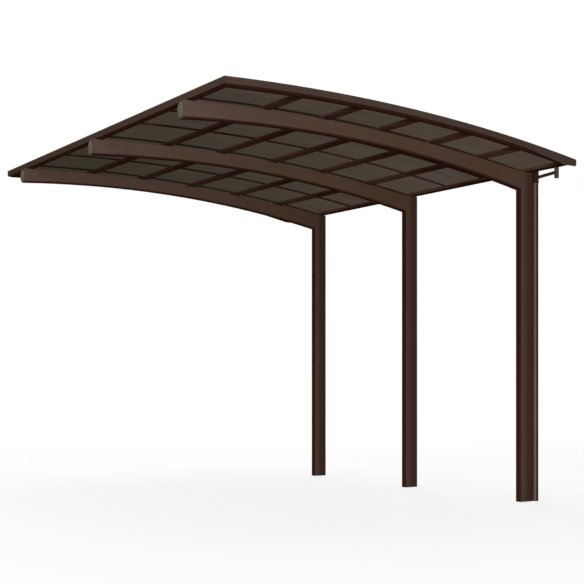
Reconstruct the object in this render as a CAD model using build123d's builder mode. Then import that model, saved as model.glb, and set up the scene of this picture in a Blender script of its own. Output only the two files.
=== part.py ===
"""Cantilever carport: an arched roof on three tapered beams, held up by one row of posts."""
import math
import os

from build123d import *

os.makedirs("parts", exist_ok=True)

# Lengths in millimetres: X runs from the open edge to the posts, Y along the post row, Z up
roof_length = 4000
roof_front_x = -3064
roof_rear_x = 60
end_overhang = 510
head_room = 2520
roof_fall = 157
roof_rise = 75
fit_gap = 0.2

# Posts, with broad faces that bulge a little
post_depth = 138
post_width = 66
post_bulge = 3
post_corner = 8

# Build-up of the roof from its top surface down
panel_drop = 1
panel_thickness = 3
panel_joint = 2
rafter_width = 18
rafter_height = 8
rafter_beside_beam = 85
rafter_bay_shares = [-0.65, -0.325, 0.325, 0.65]
purlin_width = 34
purlin_height = 41
purlin_bevel_width = 13
purlin_bevel_height = 24
purlin_count = 5
first_purlin_share = 0.2092
purlin_pitch_share = 0.165

# Beams, thinnest before the middle and deepest at the posts, each with a domed cap on its tip
beam_reach = 37
beam_height_tip = 120
beam_height_middle = 105
beam_height_post = 146
beam_top_bevel = 4
beam_low_bevel = 11
notch_gap = 4
cap_nose = 24
cap_bevel = 13

# Edge frames: an upright face, then a lip that slopes down and turns level
frame_face = 46
frame_wall = 4
front_lip = 44
side_lip = 62
lip_bend = 28
ledge_width = 14
tail_length = 560
tail_level = 130
tail_drop = 52
tail_round = 15

# Gutter over the post heads
gutter_inner_x = -17
gutter_outer_x = 54
gutter_wall = 3
gutter_round = 9
gutter_lip_drop = 18
gutter_back_drop = 3
panel_over_gutter = 60
rafter_over_gutter = 20

# Drain at the first post
outlet_radius = 18
cross_pipe_radius = 13
downspout_radius = 21
outlet_x = 32
outlet_overhang_share = 0.64
outlet_length = 86
cross_pipe_drop = 38
downspout_drop = 18
downspout_shift = 38
pipe_end_bevel = 4

# Values that follow from the sizes above
side_y = roof_length / 2
clear_y = side_y - frame_wall - fit_gap
post_rows = [end_overhang - side_y, 0, side_y - end_overhang]
post_face_x = -post_depth / 2
post_half = post_width / 2
panel_bottom = panel_drop + panel_thickness
rafter_top = panel_bottom + fit_gap
rafter_bottom = rafter_top + rafter_height
purlin_top = rafter_bottom + fit_gap
purlin_bottom = purlin_top + purlin_height
seat_drop = purlin_bottom + fit_gap
lip_bottom = seat_drop + frame_wall

# The roof is part of a cylinder through its front edge and the inner faces of the posts
arch_rear_z = head_room + beam_height_post + seat_drop
arch_front_z = arch_rear_z + roof_fall
arch_run = post_face_x - roof_front_x
arch_chord = math.hypot(arch_run, roof_fall)
arch_tilt = math.atan2(roof_fall, arch_run)
roof_radius = arch_chord**2 / (8 * roof_rise) + roof_rise / 2
centre_x = (roof_front_x + post_face_x) / 2 - (roof_radius - roof_rise) * math.sin(arch_tilt)
centre_z = (arch_front_z + arch_rear_z) / 2 - (roof_radius - roof_rise) * math.cos(arch_tilt)
roof_axis = Axis((centre_x, 0, centre_z), (0, 1, 0))


def roof_z(x, drop):
    """Height at x of the arc that lies this far below the roof's top."""
    return centre_z + math.sqrt((roof_radius - drop) ** 2 - (x - centre_x) ** 2)


def arch_angle(front, rear):
    """Angle in degrees that the roof turns through between two stations."""
    front_angle = math.asin((front - centre_x) / roof_radius)
    rear_angle = math.asin((rear - centre_x) / roof_radius)
    return math.degrees(rear_angle - front_angle)


def across_roof(x):
    """Plane across the roof at x: its own X runs along the row, its own Y points up from the roof."""
    tangent = (roof_z(x, 0) - centre_z, 0, centre_x - x)
    return Plane(origin=(x, 0, roof_z(x, 0)), x_dir=(0, 1, 0), z_dir=tangent)


def along_row(x, end_y):
    """Plane square to the row at end_y: its own X follows the roof, its own Y points up from it."""
    tangent = (roof_z(x, 0) - centre_z, 0, centre_x - x)
    return Plane(origin=(x, end_y, roof_z(x, 0)), x_dir=tangent, z_dir=(0, -1, 0))


def frame_section(lip):
    """Points of an edge frame's section with this lip, from its outer top edge round to its inner one."""
    return [
        (0, 0),
        (0, -frame_face),
        (lip_bend, -lip_bottom),
        (lip, -lip_bottom),
        (lip, -seat_drop),
        (lip_bend + frame_wall / 2, -seat_drop),
        (frame_wall, frame_wall - frame_face),
        (frame_wall, 0),
    ]


def keep(part, name):
    """Names a finished piece and writes it out."""
    part.label = name
    export_step(part, f"parts/{name}.step")


# Front frame, mitred into the side frames at both corners
frame_inner_x = roof_front_x + frame_wall + fit_gap
with BuildPart() as front_frame:
    with BuildSketch(along_row(roof_front_x, side_y)):
        with BuildLine():
            Polyline(*frame_section(front_lip), close=True)
        make_face()
    extrude(amount=roof_length)
    for end in (-1, 1):
        mitre = Plane(origin=(roof_front_x - fit_gap, end * side_y, 0), z_dir=(1, end, 0))
        split(bisect_by=mitre, keep=Keep.BOTTOM)
keep(front_frame.part, "front_frame")

# Side frames follow the arch, and a deeper tail on each closes the end of the gutter
tail_start_x = roof_rear_x - tail_length
tail_start_z = roof_z(tail_start_x, frame_face)
tail_level_x = roof_rear_x - tail_level
tail_z = roof_z(roof_rear_x, tail_drop)
for number, end in enumerate((-1, 1), start=1):
    with BuildPart() as side_frame:
        with BuildSketch(across_roof(roof_front_x)):
            with BuildLine():
                section = frame_section(side_lip)
                Polyline(*[(end * (side_y - inset), height) for inset, height in section], close=True)
            make_face()
        revolve(axis=roof_axis, revolution_arc=arch_angle(roof_front_x, gutter_inner_x - fit_gap))
        with BuildSketch(across_roof(frame_inner_x)):
            with Locations((end * side_y, -rafter_top)):
                Rectangle(ledge_width, frame_wall, align=(Align.MAX if end > 0 else Align.MIN, Align.MAX))
        revolve(axis=roof_axis, revolution_arc=arch_angle(frame_inner_x, gutter_inner_x - fit_gap))
        with BuildSketch(Plane.XZ.offset(-end * side_y)) as tail:
            with BuildLine():
                Line((tail_start_x, tail_start_z), (tail_level_x, tail_z))
                Line((tail_level_x, tail_z), (roof_rear_x, tail_z))
                Line((roof_rear_x, tail_z), (roof_rear_x, roof_z(roof_rear_x, 0)))
                ThreePointArc(
                    (roof_rear_x, roof_z(roof_rear_x, 0)),
                    ((tail_start_x + roof_rear_x) / 2, roof_z((tail_start_x + roof_rear_x) / 2, 0)),
                    (tail_start_x, roof_z(tail_start_x, 0)),
                )
                Line((tail_start_x, roof_z(tail_start_x, 0)), (tail_start_x, tail_start_z))
            make_face()
            fillet(tail.vertices().sort_by(Axis.X)[-2:], radius=tail_round)
        extrude(amount=end * frame_wall)
        mitre = Plane(origin=(roof_front_x, end * side_y, 0), z_dir=(1, end, 0))
        split(bisect_by=mitre, keep=Keep.TOP)
    keep(side_frame.part, f"side_frame_{number}")

# Gutter along the post row, between the tails of the side frames
gutter_bottom_z = roof_z(post_face_x, seat_drop) + fit_gap
gutter_lip_z = roof_z(gutter_inner_x, gutter_lip_drop)
gutter_back_z = roof_z(gutter_outer_x, gutter_back_drop)
with BuildPart() as rear_gutter:
    with BuildSketch(Plane.XZ.offset(-clear_y)):
        with BuildLine():
            FilletPolyline(
                (gutter_inner_x, gutter_lip_z),
                (gutter_inner_x, gutter_bottom_z),
                (gutter_outer_x, gutter_bottom_z),
                (gutter_outer_x, gutter_back_z),
                radius=gutter_round,
            )
            offset(amount=gutter_wall, side=Side.LEFT)
        make_face()
    extrude(amount=2 * clear_y)
keep(rear_gutter.part, "rear_gutter")

# Posts stand on the ground and reach up to the gutter
post_top_z = gutter_bottom_z - fit_gap
post_flat_y = post_half - post_bulge
for number, row_y in enumerate(post_rows, start=1):
    with BuildPart() as post:
        with BuildSketch(Plane.XY.move(Location((0, row_y, 0)))):
            with BuildLine():
                Line((post_face_x, post_flat_y), (post_face_x, -post_flat_y))
                ThreePointArc((post_face_x, -post_flat_y), (0, -post_half), (-post_face_x, -post_flat_y))
                Line((-post_face_x, -post_flat_y), (-post_face_x, post_flat_y))
                ThreePointArc((-post_face_x, post_flat_y), (0, post_half), (post_face_x, post_flat_y))
            make_face()
        extrude(amount=post_top_z)
        fillet(post.edges().filter_by(Axis.Z), radius=post_corner)
    keep(post.part, f"post_{number}")

# Beams run from just before the front edge to the posts, notched to pass under the front frame's lip
beam_end_x = post_face_x - fit_gap
tip_x = roof_front_x - beam_reach
notch_x = roof_front_x + front_lip + notch_gap
notch_z = roof_z(roof_front_x, lip_bottom) - fit_gap
tip_low_z = notch_z - beam_height_tip
middle_x = (tip_x + beam_end_x) / 2
upper_middle_x = (notch_x + beam_end_x) / 2
for number, row_y in enumerate(post_rows, start=1):
    with BuildPart() as beam:
        with BuildSketch(Plane.XZ.offset(-row_y)):
            with BuildLine():
                Line((tip_x, tip_low_z), (tip_x, notch_z))
                Line((tip_x, notch_z), (notch_x, notch_z))
                Line((notch_x, notch_z), (notch_x, roof_z(notch_x, seat_drop)))
                ThreePointArc(
                    (notch_x, roof_z(notch_x, seat_drop)),
                    (upper_middle_x, roof_z(upper_middle_x, seat_drop)),
                    (beam_end_x, roof_z(beam_end_x, seat_drop)),
                )
                Line((beam_end_x, roof_z(beam_end_x, seat_drop)), (beam_end_x, head_room))
                ThreePointArc(
                    (beam_end_x, head_room),
                    (middle_x, roof_z(middle_x, seat_drop + beam_height_middle)),
                    (tip_x, tip_low_z),
                )
            make_face()
        extrude(amount=post_half, both=True)
        arcs = beam.edges().filter_by(GeomType.CIRCLE).sort_by(Axis.Z)
        chamfer(arcs[:2], length=beam_low_bevel)
        chamfer(arcs[2:], length=beam_top_bevel)
    keep(beam.part, f"beam_{number}")

# Domed caps close the beam tips, bevelled above and below
for number, row_y in enumerate(post_rows, start=1):
    with BuildPart() as cap:
        with BuildSketch(Plane.XY.move(Location((tip_x - fit_gap, row_y, tip_low_z)))):
            with BuildLine():
                ThreePointArc((0, post_half), (-cap_nose, 0), (0, -post_half))
                Line((0, -post_half), (0, post_half))
            make_face()
        extrude(amount=beam_height_tip)
        chamfer(cap.edges().filter_by(GeomType.CIRCLE), length=cap_bevel)
    keep(cap.part, f"beam_cap_{number}")

# Purlins lie along the row, square to the arch, and end on the lips of the side frames
purlin_run = post_face_x - frame_inner_x
purlin_half = purlin_width / 2
purlin_end_y = side_y - lip_bend - frame_wall
for number in range(1, purlin_count + 1):
    purlin_x = frame_inner_x + (first_purlin_share + (number - 1) * purlin_pitch_share) * purlin_run
    with BuildPart() as purlin:
        with BuildSketch(along_row(purlin_x, purlin_end_y)):
            with BuildLine():
                Polyline(
                    (-purlin_half, -purlin_top),
                    (-purlin_half, purlin_bevel_height - purlin_bottom),
                    (purlin_bevel_width - purlin_half, -purlin_bottom),
                    (purlin_half - purlin_bevel_width, -purlin_bottom),
                    (purlin_half, purlin_bevel_height - purlin_bottom),
                    (purlin_half, -purlin_top),
                    close=True,
                )
            make_face()
        extrude(amount=2 * purlin_end_y)
    keep(purlin.part, f"purlin_{number}")

# Rafters follow the arch over the purlins: one beside each beam and two in each bay
bay_rows = [share * post_rows[-1] for share in rafter_bay_shares]
rafter_rows = sorted([row_y + rafter_beside_beam for row_y in post_rows] + bay_rows)
rafter_end_x = gutter_inner_x + rafter_over_gutter
for number, row_y in enumerate(rafter_rows, start=1):
    with BuildPart() as rafter:
        with BuildSketch(across_roof(frame_inner_x)):
            with Locations((row_y, -rafter_top)):
                Rectangle(rafter_width, rafter_height, align=(Align.CENTER, Align.MAX))
        revolve(axis=roof_axis, revolution_arc=arch_angle(frame_inner_x, rafter_end_x))
    keep(rafter.part, f"rafter_{number}")

# Panels bridge from rafter to rafter and reach over the gutter
panel_lines = [-clear_y - panel_joint / 2, *rafter_rows, clear_y + panel_joint / 2]
panel_end_x = gutter_inner_x + panel_over_gutter
for number, (start, end) in enumerate(zip(panel_lines, panel_lines[1:]), start=1):
    with BuildPart() as panel:
        with BuildSketch(across_roof(frame_inner_x)):
            with Locations(((start + end) / 2, -panel_drop)):
                Rectangle(end - start - panel_joint, panel_thickness, align=(Align.CENTER, Align.MAX))
        revolve(axis=roof_axis, revolution_arc=arch_angle(frame_inner_x, panel_end_x))
    keep(panel.part, f"roof_panel_{number}")

# Drain: an outlet under the gutter, a cross pipe and a downspout behind the first post
first_y = post_rows[0]
outlet_y = first_y - outlet_overhang_share * end_overhang
drain_top_z = gutter_bottom_z - fit_gap
downspout_x = post_depth / 2 + downspout_radius + fit_gap
downspout_y = first_y - downspout_shift
with BuildPart() as outlet:
    with BuildSketch(Plane.XY.offset(drain_top_z)):
        with Locations((outlet_x, outlet_y)):
            Circle(outlet_radius)
    extrude(amount=-outlet_length)
    chamfer(outlet.faces().sort_by(Axis.Z)[0].edges(), length=pipe_end_bevel)
keep(outlet.part, "drain_outlet")

with BuildPart() as downspout:
    with BuildSketch(Plane.XY):
        with Locations((downspout_x, downspout_y)):
            Circle(downspout_radius)
    extrude(amount=drain_top_z - downspout_drop)
    chamfer(downspout.faces().sort_by(Axis.Z)[-1].edges(), length=pipe_end_bevel)
keep(downspout.part, "downspout")

cross_start = Vector(outlet_x, outlet_y, drain_top_z - cross_pipe_drop)
cross_end = Vector(downspout_x, downspout_y, drain_top_z - cross_pipe_drop)
with BuildPart() as cross_pipe:
    with BuildSketch(Plane(origin=cross_start, z_dir=cross_end - cross_start)):
        Circle(cross_pipe_radius)
    extrude(amount=(cross_end - cross_start).length)
    with BuildSketch(Plane.XY.offset(drain_top_z)):
        with Locations((outlet_x, outlet_y)):
            Circle(outlet_radius + fit_gap)
        with Locations((downspout_x, downspout_y)):
            Circle(downspout_radius + fit_gap)
    extrude(amount=-outlet_length, mode=Mode.SUBTRACT)
keep(cross_pipe.part, "drain_cross_pipe")
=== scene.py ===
"""Looks of a cantilever carport: finishes, fine trim, floor, light and camera."""
import math

import bmesh
import bpy
import numpy as np
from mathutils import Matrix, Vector


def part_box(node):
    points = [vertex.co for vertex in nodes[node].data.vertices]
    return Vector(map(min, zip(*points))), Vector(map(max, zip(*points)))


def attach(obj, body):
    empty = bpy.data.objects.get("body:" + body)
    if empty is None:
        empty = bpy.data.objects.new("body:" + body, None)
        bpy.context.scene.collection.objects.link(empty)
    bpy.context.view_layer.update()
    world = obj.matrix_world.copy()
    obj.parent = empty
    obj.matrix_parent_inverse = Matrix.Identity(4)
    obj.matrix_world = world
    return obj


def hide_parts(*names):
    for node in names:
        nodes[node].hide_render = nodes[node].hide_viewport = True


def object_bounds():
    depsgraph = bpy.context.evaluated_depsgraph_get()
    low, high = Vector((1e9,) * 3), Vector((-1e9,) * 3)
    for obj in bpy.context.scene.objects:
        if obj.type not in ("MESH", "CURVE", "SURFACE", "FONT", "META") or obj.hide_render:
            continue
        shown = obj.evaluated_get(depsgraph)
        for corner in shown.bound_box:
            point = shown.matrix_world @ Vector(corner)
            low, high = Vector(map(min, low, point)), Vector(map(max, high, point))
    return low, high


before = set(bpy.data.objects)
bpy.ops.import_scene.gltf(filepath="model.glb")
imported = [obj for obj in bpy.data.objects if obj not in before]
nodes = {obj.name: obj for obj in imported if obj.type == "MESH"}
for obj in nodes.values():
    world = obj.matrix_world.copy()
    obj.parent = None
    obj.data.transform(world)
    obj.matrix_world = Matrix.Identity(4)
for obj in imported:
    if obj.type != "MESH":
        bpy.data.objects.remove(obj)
cad_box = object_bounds()
scene = bpy.context.scene

# Camera: pixels of a square picture, place in metres, yaw in radians, sensor in millimetres
picture_size = 584
focal_pixels = 1136.4
principal_x = 340
principal_y = 377.45
camera_place = (-6.5304, -8.1732, 1.0047)
camera_yaw = 0.613
sensor_width = 36

# Colours, linear
# Painted light: beams lighter and greyer at the open edge, darker and browner towards the posts
beam_front_painted_light = (0.0890, 0.0600, 0.0487, 1)
beam_rear_painted_shade = (0.0704, 0.0414, 0.0269, 1)
bronze = (0.0765, 0.0455, 0.0358, 1)
# Painted shade: the darker tones that frame undersides take
bronze_painted_under_shade = (0.0370, 0.0172, 0.0120, 1)
purlin_painted_under_shade = (0.0415, 0.0200, 0.0142, 1)
# Painted shade: side frames a little darker towards the posts
edge_front = (0.0600, 0.0415, 0.0325, 1)
edge_rear_painted_shade = (0.0530, 0.0370, 0.0290, 1)
# Painted light: the gutter lighter than the frame where the roof shades it
gutter_painted_light_bronze = (0.0900, 0.0500, 0.0320, 1)
# Painted light and shade: rafters in the bays lighter, those beside the beams darker
rafter_painted_light_bronze = (0.0890, 0.0530, 0.0420, 1)
rafter_painted_light_under = (0.0750, 0.0430, 0.0320, 1)
beside_painted_shade_bronze = (0.0330, 0.0165, 0.0115, 1)
# Painted shade: dark brown of the strip beside the downspout and of its socket
painted_shade_brown = (0.0300, 0.0150, 0.0105, 1)
# Painted light on posts: inner faces darker, a highlight towards the open edge, the trailing side darker
post_inner_painted_shade = (0.0400, 0.0165, 0.0105, 1)
post_lead_painted_highlight = (0.0740, 0.0500, 0.0410, 1)
post_face = (0.0480, 0.0265, 0.0200, 1)
post_trail_painted_shade = (0.0400, 0.0205, 0.0145, 1)
# Painted light: the sheet darker at the open edge, lighter towards the posts
sheet_front_painted_shade = (0.0550, 0.0490, 0.0340, 1)
sheet_rear_painted_light = (0.0940, 0.0722, 0.0572, 1)
cap_dark = (0.092, 0.077, 0.063, 1)
cap_light = (0.110, 0.093, 0.077, 1)
pipe_dark = (0.066, 0.042, 0.033, 1)
pipe_light = (0.076, 0.049, 0.039, 1)
# Painted light on the downspout: a highlight on the side towards the open edge, shade on the rest
spout_painted_highlight = (0.135, 0.092, 0.075, 1)
spout_painted_shade = (0.024, 0.0115, 0.0080, 1)
floor_colour = (0.44, 0.20, 0.14, 1)
white = (1, 1, 1, 1)

# Painted highlight and shade of upright pieces by the way a face looks, 0 to the open edge and 1 to the
# rear
post_light_and_shade_tones = [(0.25, post_inner_painted_shade), (0.465, post_lead_painted_highlight), (0.50, post_face), (0.54, post_trail_painted_shade)]
spout_light_and_shade_tones = [(0.16, spout_painted_highlight), (0.30, spout_painted_shade)]

# Textures, in waves a metre along each axis
cloud_waves = (1.6, 1.6, 1.6)
grain_waves = (700, 700, 700)
die_lines_x = (0.5, 150, 150)
die_lines_y = (150, 0.5, 150)
die_lines_z = (150, 150, 0.5)
streak_waves = (1.6, 34, 1.6)
mottle_waves = (9, 9, 9)
skin_waves = (420, 420, 420)
grain_detail = 1
cloud_detail = 2
streak_detail = 3

# The range that most of a noise lies in, and a narrower one for shading
noise_low = 0.3
noise_high = 0.7
shade_low = 0.36
shade_high = 0.64

# Paint of the frame, with the grain's height in metres
die_line_share = 0.4
frame_variation = 0.08
frame_roughness = (0.27, 0.33)
upright_variation = 0.06
upright_roughness = (0.42, 0.52)
grain_height = 0.000005

# Painted shade on undersides: how far down a face looks where the darker tone starts, and where it is
# full
painted_under_shade_start = -0.15
painted_under_shade_full = -0.45

# Roof sheet, with painted light that makes it lighter towards the posts and the downspout's end
sheet_painted_light_direction = (0.15, -0.16, 0)
sheet_painted_light_start = -0.62
sheet_painted_light_end = 0.27
streak_variation = 0.16
sheet_roughness = (0.38, 0.52)
sheet_transmission = 0.9
sheet_ior = 1.002

# Plastic of the caps and the drain, with the skin's height in metres
cap_roughness = (0.5, 0.62)
cap_specular = 0.02
drain_roughness = (0.32, 0.42)
drain_specular = 0
skin_height = 0.000008


def blank_material(name):
    """A material, its node tree and its principled shader."""
    material = bpy.data.materials.new(name)
    material.use_nodes = True
    return material, material.node_tree, material.node_tree.nodes["Principled BSDF"]


def coordinates(tree, kind):
    """A point's place, or its normal, in the carport's own axes."""
    return tree.nodes.new("ShaderNodeTexCoord").outputs[kind]


def noise(tree, waves, detail=cloud_detail):
    """Noise with so many waves a metre along each axis."""
    mapping = tree.nodes.new("ShaderNodeMapping")
    mapping.inputs["Scale"].default_value = waves
    texture = tree.nodes.new("ShaderNodeTexNoise")
    texture.inputs["Scale"].default_value = 1
    texture.inputs["Detail"].default_value = detail
    tree.links.new(coordinates(tree, "Object"), mapping.inputs["Vector"])
    tree.links.new(mapping.outputs["Vector"], texture.inputs["Vector"])
    return texture.outputs["Fac"]


def blend(tree, first, second, share):
    """Mix of two values."""
    mix = tree.nodes.new("ShaderNodeMix")
    mix.inputs["Factor"].default_value = share
    tree.links.new(first, mix.inputs["A"])
    tree.links.new(second, mix.inputs["B"])
    return mix.outputs["Result"]


def remap(tree, value, start, end, low=0, high=1):
    """Value that goes from low to high as another goes from start to end."""
    node = tree.nodes.new("ShaderNodeMapRange")
    node.inputs["From Min"].default_value = start
    node.inputs["From Max"].default_value = end
    node.inputs["To Min"].default_value = low
    node.inputs["To Max"].default_value = high
    tree.links.new(value, node.inputs["Value"])
    return node.outputs["Result"]


def spread(tree, value, limits):
    """Value of a noise, spread between two limits."""
    low, high = limits
    return remap(tree, value, noise_low, noise_high, low, high)


def tint(tree, value, dark, light, low=noise_low, high=noise_high):
    """Colour that runs from dark to light as value goes from low to high."""
    ramp = tree.nodes.new("ShaderNodeValToRGB")
    ramp.color_ramp.elements[0].position = low
    ramp.color_ramp.elements[0].color = dark
    ramp.color_ramp.elements[1].position = high
    ramp.color_ramp.elements[1].color = light
    tree.links.new(value, ramp.inputs["Fac"])
    return ramp.outputs["Color"]


def shade(tree, colour, value, variation):
    """Colour made darker and lighter by this share as a noise falls and rises."""
    darker = (1 - variation, 1 - variation, 1 - variation, 1)
    lighter = (1 + variation, 1 + variation, 1 + variation, 1)
    mix = tree.nodes.new("ShaderNodeMix")
    mix.data_type = "RGBA"
    mix.blend_type = "MULTIPLY"
    mix.inputs["Factor"].default_value = 1
    tree.links.new(colour, mix.inputs["A"])
    tree.links.new(tint(tree, value, darker, lighter, shade_low, shade_high), mix.inputs["B"])
    return mix.outputs["Result"]


def bump(tree, value, height):
    """Normal bent by a noise of this height in metres."""
    node = tree.nodes.new("ShaderNodeBump")
    node.inputs["Strength"].default_value = 1
    node.inputs["Distance"].default_value = height
    tree.links.new(value, node.inputs["Height"])
    return node.outputs["Normal"]


def along(tree, direction, start, end):
    """0 to 1 between two distances along a direction of the carport."""
    reach = tree.nodes.new("ShaderNodeVectorMath")
    reach.operation = "DOT_PRODUCT"
    reach.inputs[1].default_value = direction
    tree.links.new(coordinates(tree, "Object"), reach.inputs[0])
    return remap(tree, reach.outputs["Value"], start, end)


def facing(tree, axis):
    """How far a face looks along an axis of the carport, from -1 to 1."""
    parts = tree.nodes.new("ShaderNodeSeparateXYZ")
    tree.links.new(coordinates(tree, "Normal"), parts.inputs["Vector"])
    return parts.outputs[axis]


def paint_noise(tree, die_lines):
    """Slow clouds with the lines of the extrusion die in them."""
    return blend(tree, noise(tree, cloud_waves), noise(tree, die_lines), die_line_share)


def frame_paint_with_painted_light_and_shade(name, die_lines, front, rear, under_shade_colour=bronze_painted_under_shade):
    """Matt bronze that runs from the open edge's tone to the post row's as painted light, with painted
    shade on undersides.
    """
    material, tree, shader = blank_material(name)
    tone = paint_noise(tree, die_lines)
    grain = noise(tree, grain_waves, grain_detail)
    # Painted light: the tone runs from the open edge's colour to the post row's
    painted_light_run = tint(tree, along(tree, (1, 0, 0), cad_box[0].x, 0), front, rear, 0, 1)
    # Painted shade: faces that look down turn to the darker under colour
    painted_under_shade_mask = remap(tree, facing(tree, "Z"), painted_under_shade_start, painted_under_shade_full)
    colour = tree.nodes.new("ShaderNodeMix")
    colour.data_type = "RGBA"
    colour.inputs["B"].default_value = under_shade_colour
    tree.links.new(painted_under_shade_mask, colour.inputs["Factor"])
    tree.links.new(shade(tree, painted_light_run, tone, frame_variation), colour.inputs["A"])
    tree.links.new(colour.outputs["Result"], shader.inputs["Base Color"])
    tree.links.new(spread(tree, tone, frame_roughness), shader.inputs["Roughness"])
    tree.links.new(bump(tree, grain, grain_height), shader.inputs["Normal"])
    shader.inputs["Specular IOR Level"].default_value = 0
    return material


def upright_paint_with_painted_light(name, light_and_shade_tones):
    """Matt paint of upright pieces, with painted highlight and shade by the way a face looks."""
    material, tree, shader = blank_material(name)
    ramp = tree.nodes.new("ShaderNodeValToRGB")
    stops = ramp.color_ramp.elements
    for position, colour in light_and_shade_tones:
        stops.new(position).color = colour
    stops.remove(stops[0])
    stops.remove(stops[-1])
    tree.links.new(remap(tree, facing(tree, "X"), -1, 1), ramp.inputs["Fac"])
    tone = paint_noise(tree, die_lines_z)
    varied = shade(tree, ramp.outputs["Color"], tone, upright_variation)
    tree.links.new(varied, shader.inputs["Base Color"])
    tree.links.new(spread(tree, tone, upright_roughness), shader.inputs["Roughness"])
    shader.inputs["Specular IOR Level"].default_value = 0
    return material


def roof_sheet():
    """Smoked sheet that lets a little light through, with faint streaks along the arch and painted light,
    lighter towards the posts.
    """
    material, tree, shader = blank_material("roof_sheet")
    # Painted light across the sheet
    painted_light_run = along(tree, sheet_painted_light_direction, sheet_painted_light_start, sheet_painted_light_end)
    colour = tint(tree, painted_light_run, sheet_front_painted_shade, sheet_rear_painted_light, 0, 1)
    streaks = noise(tree, streak_waves, streak_detail)
    tree.links.new(shade(tree, colour, streaks, streak_variation), shader.inputs["Base Color"])
    tree.links.new(spread(tree, streaks, sheet_roughness), shader.inputs["Roughness"])
    shader.inputs["Transmission Weight"].default_value = sheet_transmission
    shader.inputs["IOR"].default_value = sheet_ior
    shader.inputs["Specular IOR Level"].default_value = 0
    return material


def moulded_plastic(name, dark, light, roughness, specular):
    """Moulded plastic with a fine skin."""
    material, tree, shader = blank_material(name)
    mottle = noise(tree, mottle_waves)
    skin = noise(tree, skin_waves, grain_detail)
    tree.links.new(tint(tree, mottle, dark, light), shader.inputs["Base Color"])
    tree.links.new(spread(tree, mottle, roughness), shader.inputs["Roughness"])
    tree.links.new(bump(tree, skin, skin_height), shader.inputs["Normal"])
    shader.inputs["Specular IOR Level"].default_value = specular
    return material


# Finishes, with die lines along the length of each piece
beam_paint_with_painted_light_and_shade = frame_paint_with_painted_light_and_shade("beam_paint_with_painted_light_and_shade", die_lines_x, beam_front_painted_light, beam_rear_painted_shade)
purlin_paint_with_painted_shade = frame_paint_with_painted_light_and_shade("purlin_paint_with_painted_shade", die_lines_y, bronze, bronze, purlin_painted_under_shade)
rafter_paint_with_painted_light = frame_paint_with_painted_light_and_shade("rafter_paint_with_painted_light", die_lines_x, rafter_painted_light_bronze, rafter_painted_light_bronze, rafter_painted_light_under)
beside_paint_with_painted_shade = frame_paint_with_painted_light_and_shade("beside_paint_with_painted_shade", die_lines_x, beside_painted_shade_bronze, beside_painted_shade_bronze, beside_painted_shade_bronze)
side_paint_with_painted_light_and_shade = frame_paint_with_painted_light_and_shade("side_paint_with_painted_light_and_shade", die_lines_x, edge_front, edge_rear_painted_shade)
front_paint_with_painted_shade = frame_paint_with_painted_light_and_shade("front_paint_with_painted_shade", die_lines_y, edge_front, edge_front)
gutter_paint_with_painted_light = frame_paint_with_painted_light_and_shade("gutter_paint_with_painted_light", die_lines_y, gutter_painted_light_bronze, gutter_painted_light_bronze)
painted_shade_paint = frame_paint_with_painted_light_and_shade("painted_shade_paint", die_lines_z, painted_shade_brown, painted_shade_brown)
post_paint_with_painted_light = upright_paint_with_painted_light("post_paint_with_painted_light", post_light_and_shade_tones)
spout_paint_with_painted_light = upright_paint_with_painted_light("spout_paint_with_painted_light", spout_light_and_shade_tones)
sheet = roof_sheet()
cap_plastic = moulded_plastic("cap_plastic", cap_dark, cap_light, cap_roughness, cap_specular)
drain_plastic = moulded_plastic("drain_plastic", pipe_dark, pipe_light, drain_roughness, drain_specular)

# Finish of each node by the start of its name; rafters 1, 4 and 7 stand beside the beams and take a
# darker copy of the rafter paint as painted shade, the other rafters a lighter one as painted light
finishes = {
    "post": post_paint_with_painted_light,
    "beam_cap": cap_plastic,
    "beam": beam_paint_with_painted_light_and_shade,
    "purlin": purlin_paint_with_painted_shade,
    "rafter_1": beside_paint_with_painted_shade,
    "rafter_4": beside_paint_with_painted_shade,
    "rafter_7": beside_paint_with_painted_shade,
    "rafter": rafter_paint_with_painted_light,
    "side_frame": side_paint_with_painted_light_and_shade,
    "front_frame": front_paint_with_painted_shade,
    "rear_gutter": gutter_paint_with_painted_light,
    "roof_panel": sheet,
    "drain": drain_plastic,
    "downspout": spout_paint_with_painted_light,
}

for name, node in nodes.items():
    kind = next(k for k in finishes if name.startswith(k))
    node.data.materials.clear()
    node.data.materials.append(finishes[kind])


def turns(count):
    """Angles of so many even steps round a circle."""
    return [2 * math.pi * k / count for k in range(count)]


def join_rings(mesh, rings):
    """Faces from each ring of points to the next."""
    count = len(rings[0])
    for ring, after in zip(rings, rings[1:]):
        for k in range(count):
            n = (k + 1) % count
            mesh.faces.new((ring[k], ring[n], after[n], after[k]))


def closed_bar(sections):
    """Mesh through sections with as many points each, with flat ends."""
    mesh = bmesh.new()
    rings = [[mesh.verts.new(point) for point in section] for section in sections]
    join_rings(mesh, rings)
    mesh.faces.new(rings[0])
    mesh.faces.new(rings[-1])
    return mesh


def add_piece(name, mesh, material):
    """Links a mesh as a piece of the carport."""
    bmesh.ops.recalc_face_normals(mesh, faces=mesh.faces)
    data = bpy.data.meshes.new(name)
    mesh.to_mesh(data)
    mesh.free()
    data.materials.append(material)
    piece = bpy.data.objects.new(name, data)
    scene.collection.objects.link(piece)
    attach(piece, "root")
    return piece


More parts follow.
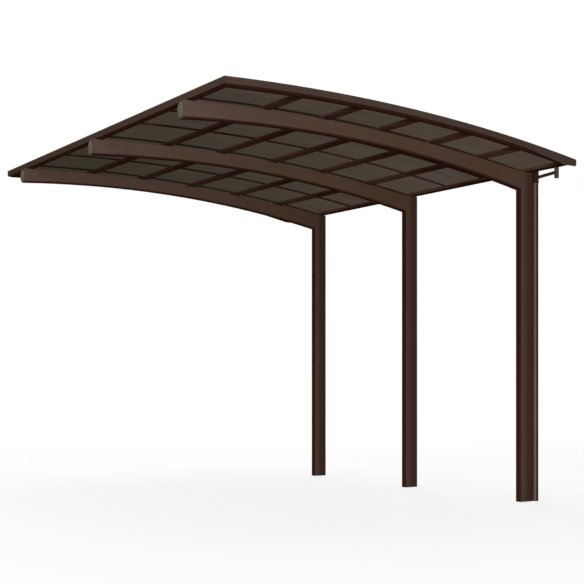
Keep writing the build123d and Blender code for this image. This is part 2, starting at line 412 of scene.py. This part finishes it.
# The roof's arch, from the first panel's own points
panel_points = np.array([v.co for v in nodes["roof_panel_1"].data.vertices])
arch_x, arch_z = panel_points[:, 0], panel_points[:, 2]
terms = np.column_stack([2 * arch_x, 2 * arch_z, np.ones_like(arch_x)])
centre_x, centre_z = np.linalg.lstsq(terms, arch_x**2 + arch_z**2, rcond=None)[0][:2]
sheet_radius = np.hypot(arch_x - centre_x, arch_z - centre_z).max()
panel_low, panel_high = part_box("roof_panel_1")
arch_start = math.asin((panel_low.x - centre_x) / sheet_radius)
arch_end = math.asin((panel_high.x - centre_x) / sheet_radius)


def on_arch(angle, y, rise):
    """Point over the panels at this angle round the arch."""
    radius = sheet_radius + rise
    return Vector((centre_x + radius * math.sin(angle), y, centre_z + radius * math.cos(angle)))


# Sealing beads over the panel joints, with a profile of sideways places and rises in metres
arch_steps = 48
bead_height = 0.0015
bead_half = 0.003
bead_shoulder = 0.0007
bead_crown = bead_half - bead_shoulder
bead_profile = [
    (-bead_half, 0),
    (-bead_half, bead_height - bead_shoulder),
    (-bead_crown, bead_height),
    (bead_crown, bead_height),
    (bead_half, bead_height - bead_shoulder),
    (bead_half, 0),
]
arch_angles = [arch_start + (arch_end - arch_start) * step / arch_steps for step in range(arch_steps + 1)]
rafter_names = sorted(n for n in nodes if n.startswith("rafter_"))
for number, name in enumerate(rafter_names, start=1):
    low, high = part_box(name)
    row_y = (low.y + high.y) / 2
    sections = [[on_arch(angle, row_y + y, rise) for y, rise in bead_profile] for angle in arch_angles]
    add_piece(f"joint_bead_{number}", closed_bar(sections), rafter_paint_with_painted_light)

# Domed caps on the beam tips, oval and lower than the beams' top edge
cap_sides = 48
cap_rings = 10
cap_square = 2.6
cap_fullness = 0.7
cap_rim = 0.004
cap_top_inset = 0.014
cap_low_inset = 0.002
cap_side_inset = 0.001
cap_nose_inset = 0.006


def squared(value):
    """Sine or cosine of a circle, pushed out towards a square."""
    return math.copysign(abs(value) ** (2 / cap_square), value)


for name in sorted(n for n in nodes if n.startswith("beam_cap_")):
    low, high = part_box(name)
    top_z = high.z - cap_top_inset
    low_z = low.z + cap_low_inset
    middle_y = (low.y + high.y) / 2
    middle_z = (top_z + low_z) / 2
    half_width = (high.y - low.y) / 2 - cap_side_inset
    half_height = (top_z - low_z) / 2
    nose_x = low.x + cap_nose_inset
    depth = high.x - nose_x - cap_rim
    levels = [(high.x, 1)]
    for k in range(cap_rings):
        lean = math.pi / 2 * k / cap_rings
        levels.append((high.x - cap_rim - depth * math.sin(lean), math.cos(lean) ** cap_fullness))
    cap = bmesh.new()
    rings = []
    for x, scale in levels:
        ring = []
        for turn in turns(cap_sides):
            y = middle_y + half_width * squared(math.cos(turn)) * scale
            z = middle_z + half_height * squared(math.sin(turn)) * scale
            ring.append(cap.verts.new((x, y, z)))
        rings.append(ring)
    nose = cap.verts.new((nose_x, middle_y, middle_z))
    join_rings(cap, rings)
    for k in range(cap_sides):
        cap.faces.new((rings[-1][k], rings[-1][(k + 1) % cap_sides], nose))
    cap.faces.new(rings[0])
    for face in cap.faces:
        face.smooth = len(face.verts) < cap_sides
    dome = add_piece(name.replace("beam_cap", "cap_dome"), cap, cap_plastic)
    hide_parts(name)

# A dark strip on the first post, beside the downspout, standing in for the shade between post and pipe
shade_strip_thickness = 0.0030
shade_strip_start_inset = 0.005
shade_strip_end_inset = 0.021
shade_strip_edge = 0.0006
socket_above = 0.044
post_low, post_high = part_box("post_1")
pipe_low, pipe_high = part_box("downspout")
shade_strip_face = post_high.x + shade_strip_thickness
shade_strip_start = post_low.y + shade_strip_start_inset
shade_strip_end = post_low.y + shade_strip_end_inset
shade_strip_profile = [
    (post_high.x, shade_strip_start),
    (shade_strip_face - shade_strip_edge, shade_strip_start),
    (shade_strip_face, shade_strip_start + shade_strip_edge),
    (shade_strip_face, shade_strip_end - shade_strip_edge),
    (shade_strip_face - shade_strip_edge, shade_strip_end),
    (post_high.x, shade_strip_end),
]
shade_strip_levels = (post_low.z, pipe_high.z + socket_above)
sections = [[(x, y, z) for x, y in shade_strip_profile] for z in shade_strip_levels]
add_piece("downspout_shade_strip", closed_bar(sections), painted_shade_paint)

# A socket round the downspout's head, in the dark brown of painted shade, with a profile of radii and of
# heights over that head
socket_radius = 0.0245
socket_below = 0.062
socket_edge = 0.002
socket_sides = 40
socket_profile = [
    (socket_radius - socket_edge, -socket_below),
    (socket_radius, socket_edge - socket_below),
    (socket_radius, socket_above - socket_edge),
    (socket_radius - socket_edge, socket_above),
]
pipe_middle = (pipe_low + pipe_high) / 2
sections = []
for radius, height in socket_profile:
    section = []
    for turn in turns(socket_sides):
        x = pipe_middle.x + radius * math.cos(turn)
        y = pipe_middle.y + radius * math.sin(turn)
        section.append((x, y, pipe_high.z + height))
    sections.append(section)
add_piece("downspout_socket", closed_bar(sections), painted_shade_paint)


def seen_by_eye(tree):
    """1 for camera, glossy and transmission rays."""
    path = tree.nodes.new("ShaderNodeLightPath")
    total = path.outputs["Is Camera Ray"]
    for ray in ("Is Glossy Ray", "Is Transmission Ray"):
        larger = tree.nodes.new("ShaderNodeMath")
        larger.operation = "MAXIMUM"
        tree.links.new(total, larger.inputs[0])
        tree.links.new(path.outputs[ray], larger.inputs[1])
        total = larger.outputs[0]
    return total


def show(tree, output_kind, bounced, seen):
    """Puts out one shader for light that bounces and another for the eye and for reflections."""
    pick = tree.nodes.new("ShaderNodeMixShader")
    output = tree.nodes.new(output_kind)
    tree.links.new(seen_by_eye(tree), pick.inputs["Fac"])
    tree.links.new(bounced.outputs[0], pick.inputs[1])
    tree.links.new(seen.outputs[0], pick.inputs[2])
    tree.links.new(pick.outputs[0], output.inputs["Surface"])


# Floor: white to the eye and to reflections, with the carport's soft shadow left in it
floor_half = 30
floor_glow_near = 0.82
floor_glow_far = 1.0
floor_near = 3.0
floor_far = 9.0
floor_material = bpy.data.materials.new("floor")
floor_material.use_nodes = True
tree = floor_material.node_tree
tree.nodes.clear()
bounce = tree.nodes.new("ShaderNodeBsdfDiffuse")
bounce.inputs["Color"].default_value = floor_colour
shaded = tree.nodes.new("ShaderNodeBsdfDiffuse")
shaded.inputs["Color"].default_value = white
glow = tree.nodes.new("ShaderNodeEmission")
glow.inputs["Color"].default_value = white
distance = tree.nodes.new("ShaderNodeVectorMath")
distance.operation = "LENGTH"
tree.links.new(coordinates(tree, "Object"), distance.inputs[0])
fade = remap(tree, distance.outputs["Value"], floor_near, floor_far, floor_glow_near, floor_glow_far)
pale = tree.nodes.new("ShaderNodeMixShader")
tree.links.new(fade, pale.inputs["Fac"])
tree.links.new(shaded.outputs[0], pale.inputs[1])
tree.links.new(glow.outputs[0], pale.inputs[2])
show(tree, "ShaderNodeOutputMaterial", bounce, pale)
floor_signs = [(-1, -1), (1, -1), (1, 1), (-1, 1)]
floor_points = [(x * floor_half, y * floor_half, cad_box[0].z) for x, y in floor_signs]
floor_mesh = bpy.data.meshes.new("floor")
floor_mesh.from_pydata(floor_points, [], [(0, 1, 2, 3)])
floor_mesh.materials.append(floor_material)
floor = bpy.data.objects.new("floor", floor_mesh)
scene.collection.objects.link(floor)

# World: white to the eye, soft even light on the carport
ambient_strength = 0.2
world = bpy.data.worlds.new("studio")
world.use_nodes = True
scene.world = world
tree = world.node_tree
tree.nodes.clear()
ambient = tree.nodes.new("ShaderNodeBackground")
ambient.inputs["Color"].default_value = white
ambient.inputs["Strength"].default_value = ambient_strength
backdrop = tree.nodes.new("ShaderNodeBackground")
backdrop.inputs["Color"].default_value = white
show(tree, "ShaderNodeOutputWorld", ambient, backdrop)

# Soft lamps, in metres and watts
lamps = {
    "key": {"place": (-7.6, -18.2, 0.75), "aim": (-1.5, 0, 2.0), "size": (4, 1.2), "watts": 2600},
    "front": {"place": (-11.0, -3.0, 7.5), "aim": (-3.0, 0, 2.7), "size": (3, 3), "watts": 350},
    "low fill": {"place": (-13.0, -1.0, 1.5), "aim": (-1.5, 0, 2.4), "size": (3, 1.2), "watts": 150},
    "back fill": {"place": (7.0, 12.0, 2.6), "aim": (-1.0, 0, 1.8), "size": (4, 2), "watts": 1100},
    "top": {"place": (-1.0, 1.0, 9.0), "aim": (-1.5, 0, 0), "size": (7, 7), "watts": 500},
}
for name, values in lamps.items():
    lamp = bpy.data.lights.new(name, "AREA")
    lamp.shape = "RECTANGLE"
    lamp.size, lamp.size_y = values["size"]
    lamp.energy = values["watts"]
    holder = bpy.data.objects.new(name, lamp)
    holder.location = values["place"]
    direction = Vector(values["aim"]) - Vector(values["place"])
    holder.rotation_euler = direction.to_track_quat("-Z", "Y").to_euler()
    scene.collection.objects.link(holder)

# Camera, level, with the picture shifted as in a view camera
camera = bpy.data.cameras.new("camera")
camera.sensor_width = sensor_width
camera.lens = sensor_width * focal_pixels / picture_size
camera.shift_x = (picture_size / 2 - principal_x) / picture_size
camera.shift_y = (principal_y - picture_size / 2) / picture_size
viewer = bpy.data.objects.new("camera", camera)
viewer.location = camera_place
viewer.rotation_euler = (math.pi / 2, 0, -camera_yaw)
scene.collection.objects.link(viewer)
scene.camera = viewer
scene.view_settings.view_transform = "Standard"
